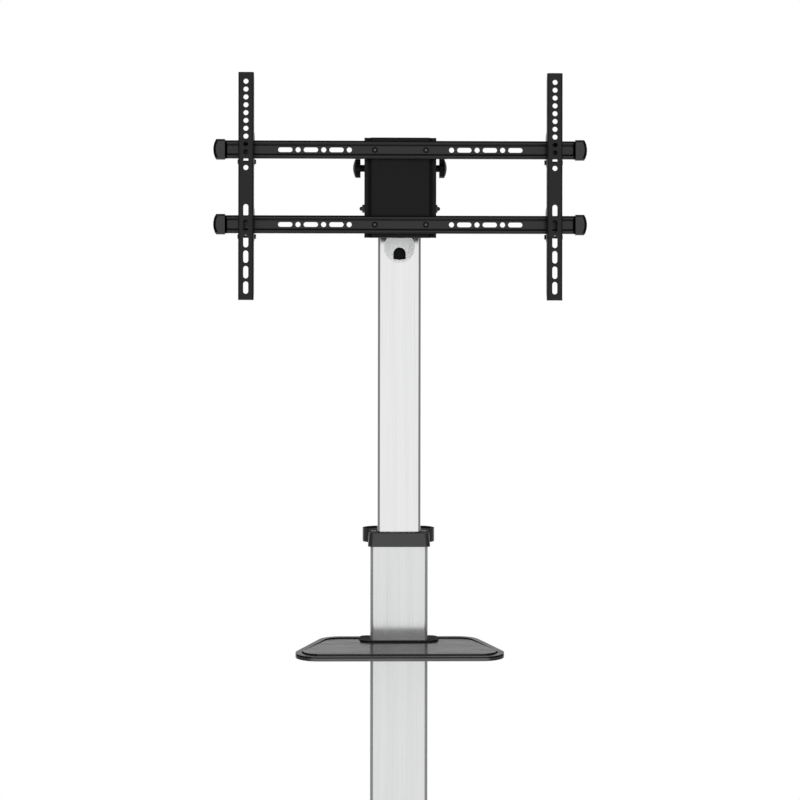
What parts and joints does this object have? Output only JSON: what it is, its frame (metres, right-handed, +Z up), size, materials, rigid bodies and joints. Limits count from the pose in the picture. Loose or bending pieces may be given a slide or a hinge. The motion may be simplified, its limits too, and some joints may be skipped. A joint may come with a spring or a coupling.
{
  "type": "mobile tv stand with mount",
  "caption": "Rolling floor stand with a telescoping aluminium column, sliding shelf and a tilting, turning screen mount with slotted arms on two rails.",
  "frame": {"origin": "on the floor, in the middle of the base's footprint", "axes": "+Z up, -Y towards the screen side that faces the viewer, +X to the viewer's right"},
  "size_m": [0.74, 0.7134, 1.811],
  "materials": {
    "black_steel": "fine satin black powder coat",
    "black_plastic": "fine-grained black moulding",
    "brushed_aluminium": "anodised, brushed along its length",
    "black_fastener": "black oxide",
    "zinc_steel": "zinc plated",
    "guide_plastic": "waxy dark nylon",
    "silver_plastic": "satin silver moulding",
    "caster_wheel": "soft tread on a moulded centre"
  },
  "bodies": {
    "stand": {"base_beam": "black_steel", "leg_left": "black_steel", "leg_right": "black_steel", "leg_end_caps": "black_plastic", "foot_plate": "black_steel", "foot_bolts": "zinc_steel", "foot_cover": "black_plastic", "lower_column": "brushed_aluminium", "top_guide": "guide_plastic", "collar": "black_plastic", "collar_screws": "black_fastener", "lock_nut": "zinc_steel", "rear_grommet": "black_plastic", "caster_tops": "zinc_steel"},
    "column": {"upper_column": "brushed_aluminium", "bottom_guide": "guide_plastic", "column_cap": "black_plastic", "cable_grommet": "silver_plastic", "column_bracket": "black_steel", "bracket_bolts": "black_fastener", "pivot_bolts": "black_fastener"},
    "tilt": {"tilt_frame": "black_steel", "friction_disc": "guide_plastic", "tilt_nuts": "zinc_steel"},
    "head": {"head_plate": "black_steel", "spindle": "zinc_steel", "spindle_nut": "zinc_steel", "upper_rail": "black_steel", "lower_rail": "black_steel", "rail_end_caps": "black_plastic", "rail_screws": "black_fastener"},
    "left_arm": {"arm_left": "black_steel", "arm_bolts_left": "black_fastener"},
    "right_arm": {"arm_right": "black_steel", "arm_bolts_right": "black_fastener"},
    "left_tilt_knob": {"tilt_knob_left": "black_plastic"},
    "right_tilt_knob": {"tilt_knob_right": "black_plastic"},
    "shelf": {"shelf": "black_plastic", "shelf_bracket": "black_plastic", "shelf_clamp": "black_plastic", "shelf_clamp_screws": "black_fastener", "shelf_screws": "black_fastener"},
    "height_knob": {"lock_knob": "black_plastic"},
    "front_left_fork": {"fork_front_left": "black_steel", "axle_front_left": "zinc_steel"},
    "front_left_wheel": {"wheel_front_left": "caster_wheel"},
    "front_left_brake": {"brake_front_left": "black_plastic"},
    "front_right_fork": {"fork_front_right": "black_steel", "axle_front_right": "zinc_steel"},
    "front_right_wheel": {"wheel_front_right": "caster_wheel"},
    "front_right_brake": {"brake_front_right": "black_plastic"},
    "rear_left_fork": {"fork_rear_left": "black_steel", "axle_rear_left": "zinc_steel"},
    "rear_left_wheel": {"wheel_rear_left": "caster_wheel"},
    "rear_left_brake": {"brake_rear_left": "black_plastic"},
    "rear_right_fork": {"fork_rear_right": "black_steel", "axle_rear_right": "zinc_steel"},
    "rear_right_wheel": {"wheel_rear_right": "caster_wheel"},
    "rear_right_brake": {"brake_rear_right": "black_plastic"}
  },
  "joints": [
    {"name": "height_slide", "type": "slide", "parent": "stand", "child": "column", "axis": [0, 0, 1], "range_m": [-0.4, 0]},
    {"name": "head_tilt", "type": "hinge", "parent": "column", "child": "tilt", "pos_m": [0, -0.068, 1.5525], "axis": [1, 0, 0], "range_deg": [-5, 12]},
    {"name": "head_turn", "type": "hinge", "parent": "tilt", "child": "head", "pos_m": [0, -0.13, 1.59], "axis": [0, 1, 0], "range_deg": [0, 90]},
    {"name": "left_arm_slide", "type": "slide", "parent": "head", "child": "left_arm", "axis": [1, 0, 0], "range_m": [0, 0.2]},
    {"name": "right_arm_slide", "type": "slide", "parent": "head", "child": "right_arm", "axis": [-1, 0, 0], "range_m": [0, 0.2]},
    {"name": "left_knob_spin", "type": "hinge", "parent": "tilt", "child": "left_tilt_knob", "pos_m": [-0.086, -0.068, 1.633], "axis": [1, 0, 0], "continuous": true},
    {"name": "right_knob_spin", "type": "hinge", "parent": "tilt", "child": "right_tilt_knob", "pos_m": [0.086, -0.068, 1.633], "axis": [1, 0, 0], "continuous": true},
    {"name": "shelf_slide", "type": "slide", "parent": "stand", "child": "shelf", "axis": [0, 0, 1], "range_m": [-0.38, 0.04]},
    {"name": "height_knob_spin", "type": "hinge", "parent": "stand", "child": "height_knob", "pos_m": [0, 0.068, 0.841], "axis": [0, 1, 0], "continuous": true},
    {"name": "front_left_swivel", "type": "hinge", "parent": "stand", "child": "front_left_fork", "pos_m": [-0.34, -0.28, 0.087], "axis": [0, 0, 1], "continuous": true},
    {"name": "front_left_roll", "type": "hinge", "parent": "front_left_fork", "child": "front_left_wheel", "pos_m": [-0.34, -0.308, 0.0375], "axis": [1, 0, 0], "continuous": true},
    {"name": "front_left_pedal", "type": "hinge", "parent": "front_left_fork", "child": "front_left_brake", "pos_m": [-0.34, -0.312, 0.0821], "axis": [1, 0, 0], "range_deg": [0, 8]},
    {"name": "front_right_swivel", "type": "hinge", "parent": "stand", "child": "front_right_fork", "pos_m": [0.34, -0.28, 0.087], "axis": [0, 0, 1], "continuous": true},
    {"name": "front_right_roll", "type": "hinge", "parent": "front_right_fork", "child": "front_right_wheel", "pos_m": [0.34, -0.308, 0.0375], "axis": [1, 0, 0], "continuous": true},
    {"name": "front_right_pedal", "type": "hinge", "parent": "front_right_fork", "child": "front_right_brake", "pos_m": [0.34, -0.312, 0.0821], "axis": [1, 0, 0], "range_deg": [0, 8]},
    {"name": "rear_left_swivel", "type": "hinge", "parent": "stand", "child": "rear_left_fork", "pos_m": [-0.34, 0.28, 0.087], "axis": [0, 0, 1], "continuous": true},
    {"name": "rear_left_roll", "type": "hinge", "parent": "rear_left_fork", "child": "rear_left_wheel", "pos_m": [-0.34, 0.308, 0.0375], "axis": [1, 0, 0], "continuous": true},
    {"name": "rear_left_pedal", "type": "hinge", "parent": "rear_left_fork", "child": "rear_left_brake", "pos_m": [-0.34, 0.312, 0.0821], "axis": [-1, 0, 0], "range_deg": [0, 8]},
    {"name": "rear_right_swivel", "type": "hinge", "parent": "stand", "child": "rear_right_fork", "pos_m": [0.34, 0.28, 0.087], "axis": [0, 0, 1], "continuous": true},
    {"name": "rear_right_roll", "type": "hinge", "parent": "rear_right_fork", "child": "rear_right_wheel", "pos_m": [0.34, 0.308, 0.0375], "axis": [1, 0, 0], "continuous": true},
    {"name": "rear_right_pedal", "type": "hinge", "parent": "rear_right_fork", "child": "rear_right_brake", "pos_m": [0.34, 0.312, 0.0821], "axis": [-1, 0, 0], "range_deg": [0, 8]}
  ]
}
